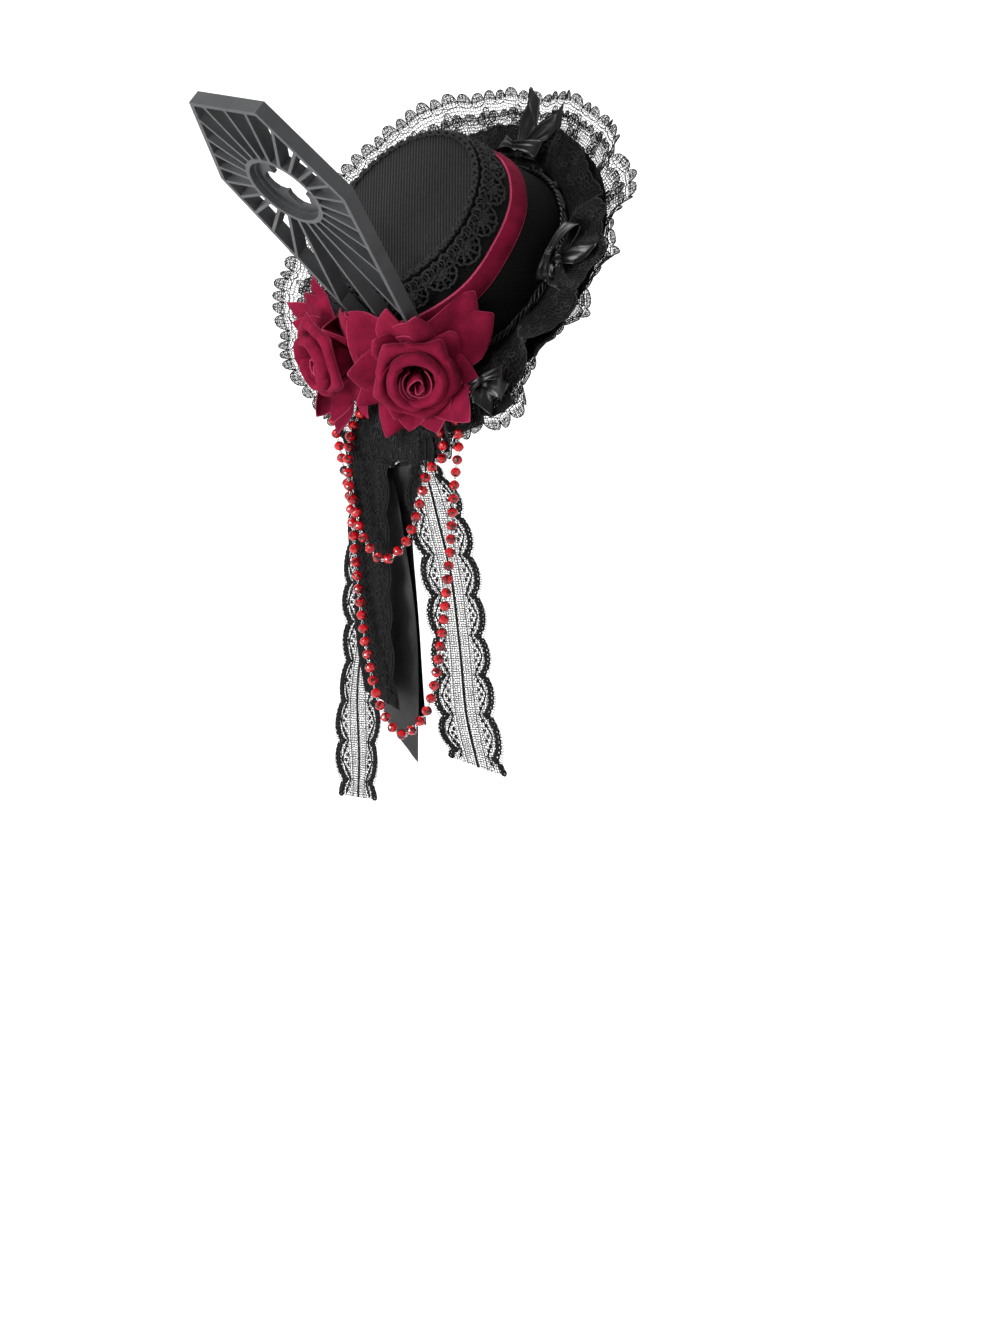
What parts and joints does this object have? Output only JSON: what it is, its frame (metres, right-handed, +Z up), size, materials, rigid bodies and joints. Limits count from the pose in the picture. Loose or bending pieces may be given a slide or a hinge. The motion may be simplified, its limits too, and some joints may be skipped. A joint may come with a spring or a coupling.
{
  "type": "mini top hat fascinator",
  "caption": "Black felt mini top hat worn tipped on the side of the head, with a pierced coffin shaped plate, velvet roses, lace ruffle, bows, ribbon tails and red bead strands.",
  "frame": {"origin": "centre of the brim's underside, where the hat sits on the head", "axes": "+Z up as the hat is worn; -Y towards the wearer's front; +X towards the middle of the head, so the crown leans 57 degrees towards -X"},
  "size_m": [0.2274, 0.196, 0.3477],
  "materials": {
    "black_felt": "matte wool felt",
    "ribbed_cloth": "matte ribbed twill",
    "crochet_trim": "crocheted cotton",
    "burgundy_velvet": "velvet pile",
    "black_lace": "open lace",
    "black_satin": "satin sheen",
    "dark_satin": "satin sheen",
    "matte_black_plastic": "satin matte",
    "red_crystal": "faceted and polished",
    "black_metal": "gloss"
  },
  "bodies": {
    "root": {"brim": "black_felt", "crown_wall": "black_felt", "crown_tip": "ribbed_cloth", "crown_lace": "crochet_trim", "velvet_band": "burgundy_velvet", "brim_ruffle": "black_lace", "gathering_ribbon": "black_satin", "bow_top": "black_satin", "bow_side": "black_satin", "bow_low": "black_satin", "grille_plate": "matte_black_plastic", "rose_front": "burgundy_velvet", "rose_left": "burgundy_velvet", "tail_lace_right": "black_lace", "tail_lace_left": "black_lace", "tail_scalloped": "black_lace", "tail_satin": "black_satin", "tail_satin_dark": "dark_satin", "bead_strand_long": "red_crystal", "bead_strand_short": "red_crystal", "clip_front": "black_metal", "clip_back": "black_metal"}
  },
  "joints": []
}
